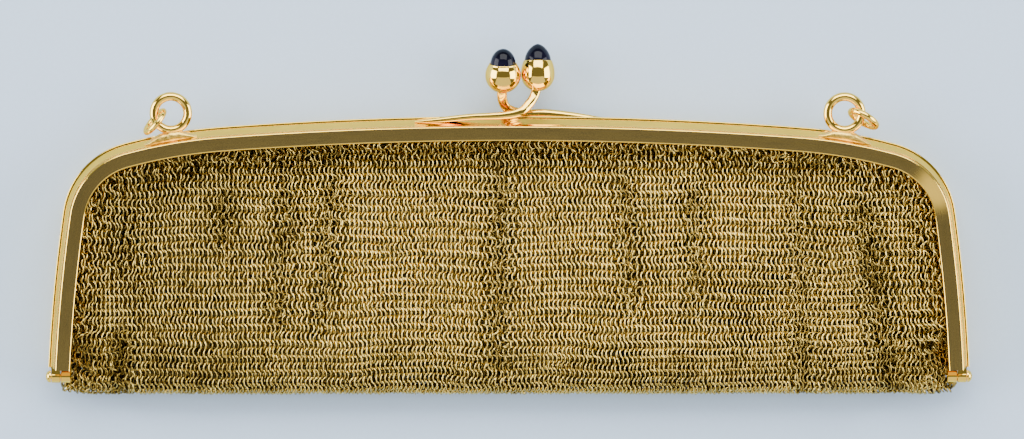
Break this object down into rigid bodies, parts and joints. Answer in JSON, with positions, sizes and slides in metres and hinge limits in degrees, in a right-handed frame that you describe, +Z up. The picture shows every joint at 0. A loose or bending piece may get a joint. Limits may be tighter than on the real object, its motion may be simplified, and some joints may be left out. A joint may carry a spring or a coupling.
{
  "type": "ring-mail frame purse",
  "caption": "Gold ring-mail purse with a hinged arched frame, a kiss clasp of stone-topped balls and chain loops, closed and lying flat.",
  "frame": {"origin": "on the surface it lies on, under the middle of the whole purse", "axes": "+X along the frame's top, +Y from the foot of the bag to the clasp, +Z up through the front face"},
  "size_m": [0.1714, 0.0648, 0.011],
  "materials": {
    "polished_gold": "polished and brushed yellow gold",
    "ring_mail_gold": "fine drawn gold wire rings, worn bright",
    "navy_stone": "polished dark blue cabochon, opaque"
  },
  "bodies": {
    "root": {"frame_front": "polished_gold", "frame_back": "polished_gold", "hinge_pin_left": "polished_gold", "hinge_pin_right": "polished_gold", "link_left": "polished_gold", "link_right": "polished_gold", "stone_front": "navy_stone", "stone_back": "navy_stone", "mesh_bag": "ring_mail_gold"}
  },
  "joints": []
}
